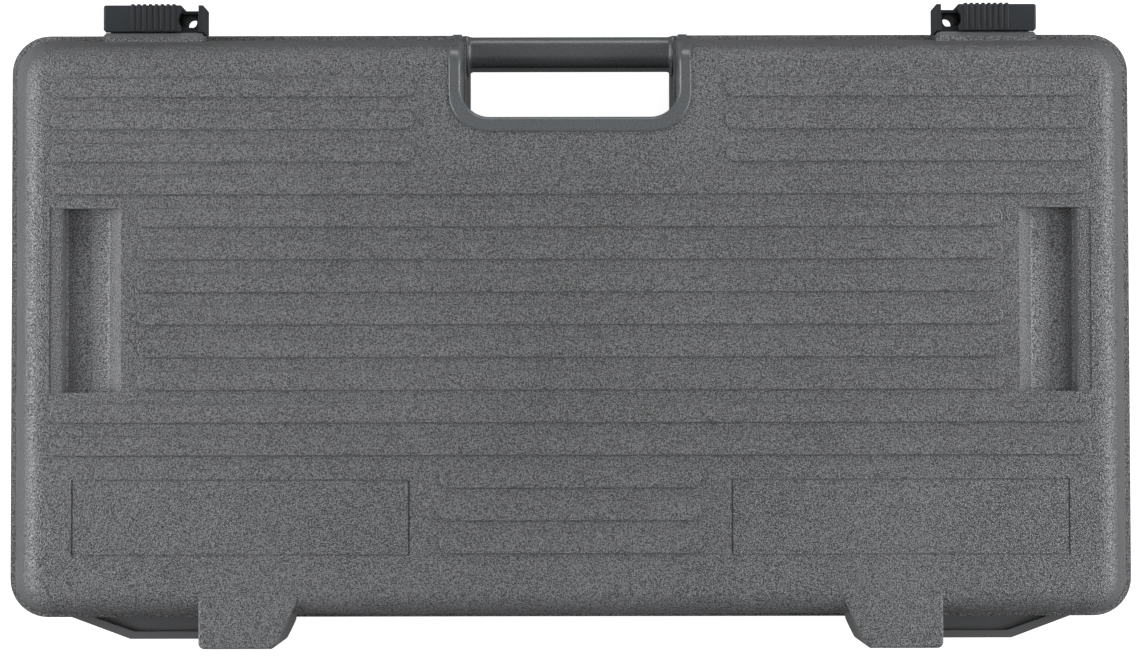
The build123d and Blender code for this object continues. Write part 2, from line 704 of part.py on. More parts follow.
def hinge_lug():
    """The right hinge lug: a rounded plate on the base's rear wall that holds the pin."""
    with BuildPart() as lug:
        with BuildSketch(Plane.YZ.offset(LUG_LOW_X)):
            with Locations((HINGE_Y, HINGE_Z)):
                Circle(LUG_R)
            Polygon(
                (HINGE_Y - 3.0, HINGE_Z - 4.2),
                (REAR_Y + 5.0, LUG_FOOT_Z),
                (REAR_Y + 5.0, PARTING_Z - 1.0),
                (HINGE_Y + 1.0, HINGE_Z + 2.0),
                align=None,
            )
        extrude(amount=LUG_HIGH_X - LUG_LOW_X)
    return lug.part


def base_hollow():
    """The space inside the base, clear of the hand opening's walls."""
    with BuildPart() as hollow:
        add(base_block(FLANGE_PROUD + WALL, BASE_Z + WALL, BASE_ROUND - WALL))
        add(
            u_column(WELL_X + WALL, WELL_Y - WALL, WELL_R + WALL, BASE_Z, PARTING_Z),
            mode=Mode.SUBTRACT,
        )
    return hollow.part


with BuildPart() as base_shell:
    add(base_block(FLANGE_PROUD, BASE_Z, BASE_ROUND))
    add(outline_ring(0, 2 * WALL, PARTING_Z - FLANGE_HEIGHT, PARTING_Z))
    add(hinge_lug())
    mirror(hinge_lug(), about=Plane.YZ)
    add(base_hollow(), mode=Mode.SUBTRACT)
    # weather lip round the rim, left out at the hand opening
    lip_outer = FLANGE_PROUD + WALL + LIP_GAP
    add(outline_ring(FLANGE_PROUD + WALL / 2, lip_outer + LIP_THICK, PARTING_Z - LIP_ROOT, PARTING_Z))
    add(outline_ring(lip_outer, lip_outer + LIP_THICK, PARTING_Z, PARTING_Z + LIP_HEIGHT))
    lip_top = PARTING_Z + LIP_HEIGHT
    add(
        u_column(SLEEVE_X + 2 * WALL, SLEEVE_Y - 2 * WALL, SLEEVE_R, PARTING_Z, lip_top + 1),
        mode=Mode.SUBTRACT,
    )
    add(u_column(WELL_X, WELL_Y, WELL_R, BASE_Z - 1, PARTING_Z + 1), mode=Mode.SUBTRACT)
    # shallow bars under the floor
    with BuildSketch(Plane.XY.offset(BASE_Z + 0.5)):
        for row in BAR_ROWS_MIDDLE:
            with Locations((0, BAR_FIRST_Y - BAR_PITCH * row)):
                SlotOverall(2 * BOTTOM_BAR_LONG, BAR_WIDTH)
    extrude(amount=-BOTTOM_BAR_HEIGHT - 0.5)
    # bores for the hinge pins
    for _, sign in SIDES:
        start = (sign * (LUG_LOW_X - 1), HINGE_Y, HINGE_Z)
        add(rod(start, (sign, 0, 0), PIN_R, LUG_HIGH_X - LUG_LOW_X + 2), mode=Mode.SUBTRACT)
    for piece in STAND_SCREWS + LATCH_SCREWS + FOOT_SCREWS:
        add(piece, mode=Mode.SUBTRACT)
base_shell.part.label = "base_shell"
export_step(base_shell.part, "parts/base_shell.step")


# ---- rear stands -----------------------------------------------------------------------------
def stand_pan(low, high):
    """The space inside the right rear stand's walls, between two heights."""
    with BuildPart() as pan:
        with BuildSketch(Plane.XY.offset(low)):
            Polygon(
                (STAND_OUTER_X - 3 * STAND_WALL, REAR_Y - 0.2),
                (STAND_TIP_X - STAND_WALL / 2, STAND_WALL - CASE_REACH),
                (STAND_INNER_X + STAND_WALL, STAND_WALL - CASE_REACH),
                (STAND_INNER_X + STAND_WALL, REAR_Y - 0.2),
                align=None,
            )
        extrude(amount=high - low)
    return pan.part


for side, sign in SIDES:
    with BuildPart() as rear_stand:
        with BuildSketch(Plane.XY.offset(STAND_LOW)) as outline:
            Polygon(
                (STAND_OUTER_X, REAR_Y + STAND_ROOT),
                (STAND_OUTER_X, REAR_Y),
                (STAND_TIP_X, -CASE_REACH),
                (STAND_INNER_X, -CASE_REACH),
                (STAND_INNER_X, REAR_Y + STAND_ROOT),
                align=None,
            )
            fillet(outline.vertices().group_by(Axis.Y)[0], radius=2.5)
        extrude(amount=STAND_HIGH - STAND_LOW)
        fillet(rear_stand.faces().sort_by(Axis.Z)[0].edges().group_by(Axis.Y)[0], radius=2.0)
        add(base_block(FLANGE_PROUD, BASE_Z, BASE_ROUND), mode=Mode.SUBTRACT)
        add(stand_pan(STAND_HIGH - STAND_RECESS, STAND_HIGH + 1), mode=Mode.SUBTRACT)
        hollow_top = STAND_HIGH - STAND_RECESS - WALL
        add(stand_pan(STAND_LOW - 1, hollow_top), mode=Mode.SUBTRACT)
        if sign < 0:
            mirror(about=Plane.YZ, mode=Mode.REPLACE)
        for piece in STAND_SCREWS:
            add(piece, mode=Mode.SUBTRACT)
    rear_stand.part.label = f"rear_stand_{side}"
    export_step(rear_stand.part, f"parts/rear_stand_{side}.step")


# ---- hand opening: liner and grip ------------------------------------------------------------
with BuildPart() as handle_liner:
    # the case's body round the opening, which the liner's front ends follow; beside the grip they
    # come forward to the grip's front
    add(base_block(FLANGE_PROUD, BASE_Z, BASE_ROUND))
    add(lid_block(FLANGE_PROUD, LID_Z, LID_ROUND))
    side_x = OPENING_X + 2 * LINER_WALL
    add(box_between((-side_x, OPENING_Y - 2 * OPENING_R, GRIP_LOW), (side_x, GRIP_FRONT_Y, GRIP_HIGH)))
    add(
        u_column(
            OPENING_X + LINER_WALL,
            OPENING_Y - LINER_WALL,
            OPENING_R + LINER_WALL,
            LINER_LOW,
            LINER_TOP,
        ),
        mode=Mode.INTERSECT,
    )
    add(u_column(OPENING_X, OPENING_Y, OPENING_R, LINER_LOW - 1, LINER_TOP + 1), mode=Mode.SUBTRACT)
handle_liner.part.label = "handle_liner"
export_step(handle_liner.part, "parts/handle_liner.step")


def grip_bar(inset, half_length):
    """A bar with the grip's rounded section, inset all round."""
    with BuildPart() as bar:
        with BuildSketch(Plane.YZ.offset(-half_length)):
            with Locations((GRIP_MID_Y, GRIP_MID_Z)):
                RectangleRounded(
                    GRIP_FRONT_Y - GRIP_REAR_Y - 2 * inset,
                    GRIP_HIGH - GRIP_LOW - 2 * inset,
                    GRIP_ROUND - inset,
                )
        extrude(amount=2 * half_length)
    return bar.part


def is_grip_root(edge):
    """Whether an edge is where the bar meets one of its spread ends."""
    middle = edge.center()
    at_collar = abs(abs(middle.X) - (OPENING_X - GRIP_COLLAR)) < 0.01
    across = GRIP_REAR_Y - 0.01 < middle.Y < GRIP_FRONT_Y + 0.01
    return at_collar and across and GRIP_LOW - 0.01 < middle.Z < GRIP_HIGH + 0.01


def whole_grip():
    """The grip before it is split: a bar that spreads at both ends to meet the liner."""
    with BuildPart() as grip:
        add(grip_bar(0, OPENING_X))
        for _, sign in SIDES:
            with BuildSketch(Plane.YZ.offset(sign * OPENING_X)):
                with Locations((GRIP_MID_Y, GRIP_MID_Z)):
                    RectangleRounded(
                        GRIP_FRONT_Y - GRIP_REAR_Y + 2 * GRIP_FLARE,
                        GRIP_HIGH - GRIP_LOW + 2 * GRIP_FLARE,
                        GRIP_ROUND + GRIP_FLARE,
                    )
            extrude(amount=-sign * GRIP_COLLAR)
        fillet(grip.edges().filter_by(is_grip_root), radius=GRIP_FILLET)
        # the spread ends are cut flat at the front
        add(
            box_between(
                (-OPENING_X, GRIP_FRONT_Y, GRIP_LOW - 2 * GRIP_FLARE),
                (OPENING_X, GRIP_FRONT_Y + 2 * GRIP_FLARE, GRIP_HIGH + 2 * GRIP_FLARE),
            ),
            mode=Mode.SUBTRACT,
        )
        add(grip_bar(GRIP_WALL, OPENING_X - 2 * GRIP_WALL), mode=Mode.SUBTRACT)
        # screw posts inside the hollow bar
        for _, sign in SIDES:
            post_foot = (sign * GRIP_SCREW_X, GRIP_MID_Y, GRIP_LOW + 1)
            add(rod(post_foot, (0, 0, 1), GRIP_POST_R, GRIP_HIGH - GRIP_LOW - 2))
        for _, sign in SIDES:
            recess_foot = (sign * GRIP_SCREW_X, GRIP_MID_Y, GRIP_LOW - 1)
            add(rod(recess_foot, (0, 0, 1), SCREW_HEAD_R, GRIP_WALL + 1), mode=Mode.SUBTRACT)
        for piece in HANDLE_SCREWS:
            add(piece, mode=Mode.SUBTRACT)
    return grip.part


GRIP_SPLIT = Plane.XY.offset(GRIP_MID_Z)
for name, keep in (("handle_grip_upper", Keep.TOP), ("handle_grip_lower", Keep.BOTTOM)):
    with BuildPart() as handle_grip:
        add(whole_grip())
        split(bisect_by=GRIP_SPLIT, keep=keep)
    handle_grip.part.label = name
    export_step(handle_grip.part, f"parts/{name}.step")


# ---- latches ---------------------------------------------------------------------------------
for side, sign in SIDES:
    with BuildPart() as latch_rail:
        # seat on the base's front wall
        add(box_between(
            (BRACKET_INNER_X, FRONT_Y - 6, LATCH_LOW + 2),
            (RAIL_OUTER_X, RAIL_BACK_Y, RAIL_SEAT_HIGH),
        ))
        # web and front flange, which the slider's hooks run behind
        add(box_between(
            (BRACKET_OUTER_X, RAIL_BACK_Y - 1, RAIL_WEB_LOW),
            (RAIL_OUTER_X, RAIL_FLANGE_Y + 0.5, RAIL_WEB_HIGH),
        ))
        add(box_between(
            (BRACKET_OUTER_X, RAIL_FLANGE_Y, RAIL_FLANGE_LOW),
            (RAIL_OUTER_X, RAIL_FLANGE_FRONT_Y, RAIL_FLANGE_HIGH),
        ))
        # padlock block and the arm behind it
        add(box_between(
            (BRACKET_OUTER_X - 1, LATCH_BACK_Y, PADLOCK_BLOCK_LOW),
            (PADLOCK_BLOCK_X, RAIL_FLANGE_Y + 0.5, PADLOCK_BLOCK_HIGH),
        ))
        add(box_between(
            (BRACKET_OUTER_X - 1, LATCH_BACK_Y, PADLOCK_BLOCK_LOW),
            (PADLOCK_BLOCK_X, RAIL_ARM_Y, RAIL_ARM_HIGH),
        ))
        # bracket at the rail's inner end
        add(box_between(
            (BRACKET_INNER_X, LATCH_BACK_Y, BRACKET_LOW),
            (BRACKET_OUTER_X, LATCH_FRONT_Y, LATCH_HIGH - 1),
        ))
        add(box_between(
            (BRACKET_INNER_X, RAIL_BACK_Y - 1, BRACKET_LOW),
            (BRACKET_OUTER_X, LATCH_BACK_Y + 1, RAIL_SEAT_HIGH),
        ))
        add(rod((PADLOCK_X, PADLOCK_Y, LATCH_LOW), (0, 0, 1), PADLOCK_R, 50.0), mode=Mode.SUBTRACT)
        add(base_block(FLANGE_PROUD, BASE_Z, BASE_ROUND), mode=Mode.SUBTRACT)
        add(outline_ring(0, 2 * WALL, PARTING_Z - FLANGE_HEIGHT, PARTING_Z), mode=Mode.SUBTRACT)
        if sign < 0:
            mirror(about=Plane.YZ, mode=Mode.REPLACE)
        for piece in LATCH_SCREWS:
            add(piece, mode=Mode.SUBTRACT)
    latch_rail.part.label = f"latch_rail_{side}"
    export_step(latch_rail.part, f"parts/latch_rail_{side}.step")

    with BuildPart() as latch_slider:
        add(box_between(
            (LATCH_INNER_X, LATCH_BACK_Y, LATCH_LOW),
            (LATCH_OUTER_X, LATCH_FRONT_Y, LATCH_HIGH),
        ))
        outer_end = latch_slider.faces().sort_by(Axis.X)[-1].edges()
        front_edges = latch_slider.faces().sort_by(Axis.Y)[-1].edges().filter_by(Axis.X)
        chamfer(outer_end + front_edges, length=LATCH_EDGE)
        # channel round the rail, leaving hooks behind the rail's flange
        low = LATCH_LOW + LATCH_FLANGE
        high = LATCH_HIGH - LATCH_FLANGE
        hook_back_y = LATCH_HOOK_Y + LATCH_HOOK_THICK
        add(
            box_between(
                (LATCH_INNER_X - 1, hook_back_y, low),
                (LATCH_OUTER_X + 1, LATCH_FRONT_Y - LATCH_FACE, high),
            ),
            mode=Mode.SUBTRACT,
        )
        add(
            box_between(
                (LATCH_INNER_X - 1, LATCH_HOOK_Y - 1, low + LATCH_HOOK_DEPTH),
                (LATCH_OUTER_X + 1, hook_back_y + 1, high - LATCH_HOOK_DEPTH),
            ),
            mode=Mode.SUBTRACT,
        )
        add(
            box_between(
                (LATCH_INNER_X - 1, LATCH_BACK_Y - 1, low),
                (LATCH_OUTER_X + 1, LATCH_HOOK_Y, high),
            ),
            mode=Mode.SUBTRACT,
        )
        # finger ribs over the top and the front
        for rib in range(RIB_COUNT):
            x = RIB_FIRST_X + rib * RIB_PITCH
            add(box_between(
                (x, LATCH_BACK_Y + 0.6, LATCH_HIGH - 1),
                (x + RIB_WIDTH, LATCH_FRONT_Y - 0.6, LATCH_HIGH + 0.5),
            ))
            add(box_between(
                (x, LATCH_FRONT_Y - 1, RIB_LOW),
                (x + RIB_WIDTH, CASE_REACH, LATCH_HIGH - 0.3),
            ))
        add(rod((NOTCH_X, PADLOCK_Y, LATCH_LOW - 1), (0, 0, 1), NOTCH_R, 60.0), mode=Mode.SUBTRACT)
        if sign < 0:
            mirror(about=Plane.YZ, mode=Mode.REPLACE)
    latch_slider.part.label = f"latch_slider_{side}"
    export_step(latch_slider.part, f"parts/latch_slider_{side}.step")


# ---- rubber feet -----------------------------------------------------------------------------
with BuildPart() as rubber_feet:
    for x, y in foot_places():
        with BuildSketch(Plane((x, y, 0))):
            Circle(FOOT_R)
            Circle(FOOT_HOLE_R, mode=Mode.SUBTRACT)
        extrude(amount=BASE_Z)
    fillet(rubber_feet.faces().sort_by(Axis.Z)[:4].edges().group_by(SortBy.LENGTH)[-1], radius=0.8)
rubber_feet.part.label = "rubber_feet"
export_step(rubber_feet.part, "parts/rubber_feet.step")


# ---- foam lining in the tray -----------------------------------------------------------------
def foam_block(name, low, high):
    """One rectangular foam block with rounded upright corners."""
    with BuildPart() as foam:
        with BuildSketch(Plane.XY.offset(low[2])):
            with Locations(((low[0] + high[0]) / 2, (low[1] + high[1]) / 2)):
                RectangleRounded(high[0] - low[0], high[1] - low[1], FOAM_ROUND)
        extrude(amount=high[2] - low[2])
    foam.part.label = name
    export_step(foam.part, f"parts/{name}.step")


with BuildPart() as floor_foam:
    with BuildSketch(Plane.XY.offset(FLOOR_FOAM_LOW)):
        with Locations(((FOAM_RIGHT_X - TRAY_X) / 2, (TRAY_REAR_Y + TRAY_FRONT_Y) / 2)):
            RectangleRounded(FOAM_RIGHT_X + TRAY_X, TRAY_FRONT_Y - TRAY_REAR_Y, FOAM_ROUND)
    extrude(amount=FLOOR_FOAM_HIGH - FLOOR_FOAM_LOW)
    add(u_column(HANDLE_CLEAR_X, HANDLE_CLEAR_Y, RIM_OUTER_R, 0, PARTING_Z), mode=Mode.SUBTRACT)
floor_foam.part.label = "floor_foam"
export_step(floor_foam.part, "parts/floor_foam.step")

FRONT_FOAM_Y = TRAY_FRONT_Y - FOAM_STRIP - 8
REAR_FOAM_Y = TRAY_REAR_Y + FOAM_STRIP
LOW = BLOCK_FOAM_LOW
HIGH = BLOCK_FOAM_HIGH
foam_block("rear_foam_strip", (-TRAY_X, TRAY_REAR_Y, LOW), (FOAM_RIGHT_X, REAR_FOAM_Y, HIGH))
foam_block("front_foam_left", (-TRAY_X, FRONT_FOAM_Y, LOW), (-HANDLE_CLEAR_X, TRAY_FRONT_Y, HIGH))
foam_block("front_foam_right", (HANDLE_CLEAR_X, FRONT_FOAM_Y, LOW), (FOAM_RIGHT_X, TRAY_FRONT_Y, HIGH))
foam_block(
    "side_foam_left",
    (-TRAY_X, REAR_FOAM_Y + FOAM_GAP, LOW),
    (FOAM_STRIP - TRAY_X, FRONT_FOAM_Y - FOAM_GAP, HIGH),
)


# ---- junction box ----------------------------------------------------------------------------
JACK_PLACES = [BOX_MID_Y + JACK_FIRST_Y + JACK_PITCH * number for number in range(JACK_COUNT)]
POWER_PLACES = [BOX_MID_Y + POWER_FIRST_Y + POWER_PITCH * number for number in range(POWER_COUNT)]
BOX_NEAR_Y = BOX_MID_Y - BOX_HALF_Y
BOX_FAR_Y = BOX_MID_Y + BOX_HALF_Y
PLATE_GAP = 0.1

with BuildPart() as junction_box_housing:
    add(box_between((BOX_LEFT_X, BOX_NEAR_Y, BOX_LOW), (BOX_RIGHT_X, BOX_FAR_Y, BOX_HIGH)))
    upright = junction_box_housing.edges().filter_by(Axis.Z)
    top = junction_box_housing.faces().sort_by(Axis.Z)[-1].edges()
    fillet(upright + top, radius=BOX_ROUND)
    add(
        box_between(
            (BOX_LEFT_X + BOX_WALL, BOX_NEAR_Y + BOX_WALL, BOX_LOW - 1),
            (BOX_RIGHT_X - BOX_WALL, BOX_FAR_Y - BOX_WALL, BOX_HIGH - BOX_WALL),
        ),
        mode=Mode.SUBTRACT,
    )
    holes = [(y, JACK_BUSH_R) for y in JACK_PLACES] + [(y, POWER_COLLAR_R) for y in POWER_PLACES]
    for y, radius in holes:
        hole = rod((BOX_LEFT_X - 1, y, JACK_Z), (1, 0, 0), radius + PLATE_GAP, BOX_WALL + 2)
        add(hole, mode=Mode.SUBTRACT)
    for piece in BOX_SCREWS:
        add(piece, mode=Mode.SUBTRACT)
junction_box_housing.part.label = "junction_box_housing"
export_step(junction_box_housing.part, "parts/junction_box_housing.step")

with BuildPart() as junction_box_bottom:
    inset = BOX_WALL + PLATE_GAP
    add(box_between(
        (BOX_LEFT_X + inset, BOX_NEAR_Y + inset, BOX_LOW),
        (BOX_RIGHT_X - inset, BOX_FAR_Y - inset, BOX_LOW + BOX_PLATE),
    ))
    for x, y in BOX_SCREW_PLACES:
        add(rod((x, y, BOX_LOW), (0, 0, 1), BOX_POST_R, BOX_HIGH - BOX_WALL - BOX_LOW))
    for piece in BOX_SCREWS:
        add(piece, mode=Mode.SUBTRACT)
junction_box_bottom.part.label = "junction_box_bottom"
export_step(junction_box_bottom.part, "parts/junction_box_bottom.step")

with BuildPart() as circuit_board:
    add(box_between(
        (BOX_LEFT_X + BOARD_INSET, BOX_NEAR_Y + BOARD_END_INSET, BOARD_LOW),
        (BOX_RIGHT_X - BOARD_END_INSET, BOX_FAR_Y - BOARD_END_INSET, BOARD_LOW + BOARD_THICK),
    ))
circuit_board.part.label = "circuit_board"
export_step(circuit_board.part, "parts/circuit_board.step")

with BuildPart() as jack_bodies:
    for y in JACK_PLACES:
        add(rod((BOX_LEFT_X - JACK_NOSE, y, JACK_Z), (1, 0, 0), JACK_BUSH_R, JACK_NOSE + 6))
        add(box_between(
            (BOX_LEFT_X + BOX_WALL + PLATE_GAP, y - JACK_HALF_WIDTH, JACK_Z - JACK_HALF_HEIGHT),
            (BOX_LEFT_X + JACK_BACK, y + JACK_HALF_WIDTH, JACK_Z + JACK_HALF_HEIGHT),
        ))
    for y in JACK_PLACES:
        bore = rod((BOX_LEFT_X - JACK_NOSE, y, JACK_Z), (1, 0, 0), JACK_BORE_R, JACK_BORE_LENGTH)
        add(bore, mode=Mode.SUBTRACT)
jack_bodies.part.label = "jack_bodies"
export_step(jack_bodies.part, "parts/jack_bodies.step")

with BuildPart() as jack_nuts:
    for y in JACK_PLACES:
        with BuildSketch(Plane(origin=(BOX_LEFT_X, y, JACK_Z), z_dir=(-1, 0, 0))):
            RegularPolygon(NUT_R, 6)
            Circle(JACK_BUSH_R + PLATE_GAP, mode=Mode.SUBTRACT)
        extrude(amount=NUT_THICK)
jack_nuts.part.label = "jack_nuts"
export_step(jack_nuts.part, "parts/jack_nuts.step")

with BuildPart() as power_sockets:
    for y in POWER_PLACES:
        add(rod((BOX_LEFT_X - POWER_NOSE, y, JACK_Z), (1, 0, 0), POWER_COLLAR_R, 6.0))
        add(box_between(
            (BOX_LEFT_X + BOX_WALL + PLATE_GAP, y - POWER_HALF, JACK_Z - POWER_HALF),
            (BOX_LEFT_X + POWER_BACK, y + POWER_HALF, JACK_Z + POWER_HALF),
        ))
    for y in POWER_PLACES:
        bore = rod((BOX_LEFT_X - POWER_NOSE, y, JACK_Z), (1, 0, 0), POWER_BORE_R, 12.0)
        add(bore, mode=Mode.SUBTRACT)
        add(rod((BOX_LEFT_X + 1, y, JACK_Z), (1, 0, 0), POWER_PIN_R, 11.0))
power_sockets.part.label = "power_sockets"
export_step(power_sockets.part, "parts/power_sockets.step")
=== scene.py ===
"""Looks of the moulded pedalboard case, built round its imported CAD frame."""
import json
import math

import bmesh
import bpy
from mathutils import Euler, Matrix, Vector


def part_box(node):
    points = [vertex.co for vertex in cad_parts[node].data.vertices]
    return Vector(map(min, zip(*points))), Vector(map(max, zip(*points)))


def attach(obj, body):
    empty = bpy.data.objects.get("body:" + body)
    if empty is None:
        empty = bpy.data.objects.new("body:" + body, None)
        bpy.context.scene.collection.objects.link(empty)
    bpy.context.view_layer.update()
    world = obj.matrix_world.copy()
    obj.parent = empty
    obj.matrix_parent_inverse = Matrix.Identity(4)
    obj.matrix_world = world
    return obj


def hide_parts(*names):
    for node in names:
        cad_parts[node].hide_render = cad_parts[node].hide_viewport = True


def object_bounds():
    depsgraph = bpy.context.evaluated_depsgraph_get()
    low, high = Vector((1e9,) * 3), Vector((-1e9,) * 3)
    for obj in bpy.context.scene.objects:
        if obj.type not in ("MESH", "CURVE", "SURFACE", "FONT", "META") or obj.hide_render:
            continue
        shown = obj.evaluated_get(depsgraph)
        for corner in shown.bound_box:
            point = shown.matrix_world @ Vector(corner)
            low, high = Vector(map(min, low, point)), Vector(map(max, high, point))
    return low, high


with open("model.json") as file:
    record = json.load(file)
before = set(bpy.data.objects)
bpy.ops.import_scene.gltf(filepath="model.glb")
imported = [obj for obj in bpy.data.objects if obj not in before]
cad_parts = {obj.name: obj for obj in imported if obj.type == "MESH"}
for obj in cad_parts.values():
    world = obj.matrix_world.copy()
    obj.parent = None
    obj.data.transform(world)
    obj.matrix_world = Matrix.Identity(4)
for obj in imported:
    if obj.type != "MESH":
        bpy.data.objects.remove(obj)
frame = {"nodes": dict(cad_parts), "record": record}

MM = 0.001

cad_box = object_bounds()
nodes = frame["nodes"]
scene = bpy.context.scene

# ---- node helpers ----------------------------------------------------------------------------
# A mix node has one pair of inputs and one output for numbers, and another set for colours.
MIX_NUMBERS = (2, 3)
MIX_NUMBER_RESULT = 0
MIX_COLOURS = (6, 7)
MIX_COLOUR_RESULT = 2


def tint(colour, shade):
    """A colour made darker or lighter, with full cover."""
    return tuple(c * shade for c in colour) + (1.0,)


class Tree:
    """A material's node tree, with short calls for adding and joining nodes."""

    def __init__(self, name):
        self.material = bpy.data.materials.new(name)
        self.material.use_nodes = True
        self.nodes = self.material.node_tree.nodes
        self.links = self.material.node_tree.links
        self.shader = self.nodes["Principled BSDF"]
        self.coords = self.nodes.new("ShaderNodeTexCoord").outputs["Object"]

    def add(self, kind, inputs=None, **settings):
        """One node: inputs are numbers, colours or other nodes' sockets."""
        node = self.nodes.new("ShaderNode" + kind)
        for key, value in settings.items():
            setattr(node, key, value)
        for key, value in (inputs or {}).items():
            if isinstance(value, bpy.types.NodeSocket):
                self.links.new(value, node.inputs[key])
            else:
                node.inputs[key].default_value = value
        return node

    def noise(self, scale, detail=2.0, roughness=0.5, distortion=0.0):
        node = self.add(
            "TexNoise",
            {
                "Vector": self.coords,
                "Scale": scale,
                "Detail": detail,
                "Roughness": roughness,
                "Distortion": distortion,
            },
        )
        return node.outputs["Fac"]

    def voronoi(self, scale, feature):
        """The distance to the nearest cell point, in cells."""
        node = self.add("TexVoronoi", {"Vector": self.coords, "Scale": scale}, feature=feature)
        return node.outputs["Distance"]

    def axes(self):
        """The x, y and z of a point on the case, as three sockets."""
        return self.add("SeparateXYZ", {"Vector": self.coords}).outputs

    def math(self, operation, a, b=0.0):
        return self.add("Math", {0: a, 1: b}, operation=operation).outputs["Value"]

    def span(self, value, low, high, to_low=0.0, to_high=1.0):
        """The value, stretched from one range to another and held inside it."""
        inputs = {
            "Value": value,
            "From Min": low,
            "From Max": high,
            "To Min": to_low,
            "To Max": to_high,
        }
        return self.add("MapRange", inputs).outputs["Result"]

    def blend(self, factor, low, high):
        """A number that runs from low to high as the factor goes from 0 to 1."""
        inputs = {"Factor": factor, MIX_NUMBERS[0]: low, MIX_NUMBERS[1]: high}
        return self.add("Mix", inputs).outputs[MIX_NUMBER_RESULT]

    def ramp(self, factor, low, high):
        """A colour that runs from low to high as the factor goes from 0 to 1."""
        inputs = {"Factor": factor, MIX_COLOURS[0]: low, MIX_COLOURS[1]: high}
        return self.add("Mix", inputs, data_type="RGBA").outputs[MIX_COLOUR_RESULT]

    def bump(self, height, strength, distance, normal=None):
        """Small relief: distance is its depth in metres, laid over a normal if one is given."""
        inputs = {"Height": height, "Strength": strength, "Distance": distance}
        if normal is not None:
            inputs["Normal"] = normal
        return self.add("Bump", inputs).outputs["Normal"]

    def surface(self, **inputs):
        """Sets the shader's inputs: numbers on its own sockets, textures by links."""
        for key, value in inputs.items():
            socket = self.shader.inputs[key.replace("_", " ")]
            if isinstance(value, bpy.types.NodeSocket):
                self.links.new(value, socket)
            else:
                socket.default_value = value
        return self.material


# ---- materials -------------------------------------------------------------------------------
GRAIN_CELLS = 1050.0            # pebbles of the grain per metre
GRAIN_SPECKS = 1300.0           # finer specks per metre
GRAIN_SPECK_SHARE = 0.5         # height of the specks, next to that of the pebbles
GRAIN_DEPTH = 0.30 * MM
# The grain's colour follows its specks' height: partly its own tone, partly painted shade in the
# pits and painted light on the tops.
GRAIN_PIT_TONE_AND_PAINTED_SHADE = 0.30
GRAIN_TOP_TONE_AND_PAINTED_LIGHT = 1.70
MOTTLE_SHARE = 0.08             # of the shade, the rest follows the specks

# Painted light: the pockets' floors are painted paler than the lid, from their outer walls
# inwards, in place of the light that these walls shade off.
# The floors of the two finger pockets, for x taken without its sign.
POCKET_FLOOR_LOW = (262.0 * MM, -43.0 * MM, 135.0 * MM)
POCKET_FLOOR_HIGH = (295.5 * MM, 65.0 * MM, 141.7 * MM)
POCKET_PAINTED_LIGHT_X = 283.0 * MM      # the floor's painted light rises from the outer wall to here
POCKET_PAINTED_LIGHT = 2.1              # how much paler the floor's inner part is painted than the lid

KEEPER_LEDGE_Y = 171.8 * MM     # in front of this, a keeper is smooth


def pocket_painted_light_mask(tree):
    """Painted light on the pockets' floors: 0 outside them, rising to 1 over each floor from its
    outer wall.
    """
    axes = tree.axes()
    across = tree.math("ABSOLUTE", axes["X"])
    share = tree.span(across, POCKET_FLOOR_HIGH[0], POCKET_PAINTED_LIGHT_X)
    corners = zip((across, axes["Y"], axes["Z"]), POCKET_FLOOR_LOW, POCKET_FLOOR_HIGH)
    for value, low, high in corners:
        share = tree.math("MULTIPLY", share, tree.math("GREATER_THAN", value, low))
        share = tree.math("MULTIPLY", share, tree.math("LESS_THAN", value, high))
    return share


def grained_plastic(name, colour, smooth_from_y=None):
    """Moulded plastic with a crisp pebble grain, deep enough to glint and to shade itself.

    The finger pockets' floors are painted paler, as painted light. In front of smooth_from_y the
    grain runs out into smooth plastic.
    """
    tree = Tree(name)
    pebble = tree.span(tree.voronoi(GRAIN_CELLS, "F1"), 0.0, 0.6, 1.0, 0.0)
    fine = tree.noise(GRAIN_SPECKS, detail=1.0, roughness=0.6)
    mottle = tree.noise(9.0, detail=3.0)
    height = tree.math("ADD", pebble, tree.math("MULTIPLY", fine, GRAIN_SPECK_SHARE))
    speck = tree.math(
        "ADD",
        tree.math("MULTIPLY", fine, 1.0 - MOTTLE_SHARE),
        tree.math("MULTIPLY", mottle, MOTTLE_SHARE),
    )
    # Partly the grain's own tone, partly painted shade in the specks' pits and painted light on
    # their tops.
    shade = tree.span(speck, 0.40, 0.60)
    if smooth_from_y is not None:
        grained = tree.math("LESS_THAN", tree.axes()["Y"], smooth_from_y)
        height = tree.math("MULTIPLY", height, grained)
        shade = tree.blend(grained, 0.5, shade)
    lid = [tint(colour, step) for step in (GRAIN_PIT_TONE_AND_PAINTED_SHADE, GRAIN_TOP_TONE_AND_PAINTED_LIGHT)]
    # The pockets' floors in a paler grey: painted light.
    floor = [tint(colour, step * POCKET_PAINTED_LIGHT) for step in (GRAIN_PIT_TONE_AND_PAINTED_SHADE, GRAIN_TOP_TONE_AND_PAINTED_LIGHT)]
    return tree.surface(
        Base_Color=tree.ramp(pocket_painted_light_mask(tree), tree.ramp(shade, *lid), tree.ramp(shade, *floor)),
        Roughness=tree.span(pebble, 0.0, 1.0, 0.42, 0.28),
        Specular_IOR_Level=0.5,
        Normal=tree.bump(height, 1.0, GRAIN_DEPTH),
    )


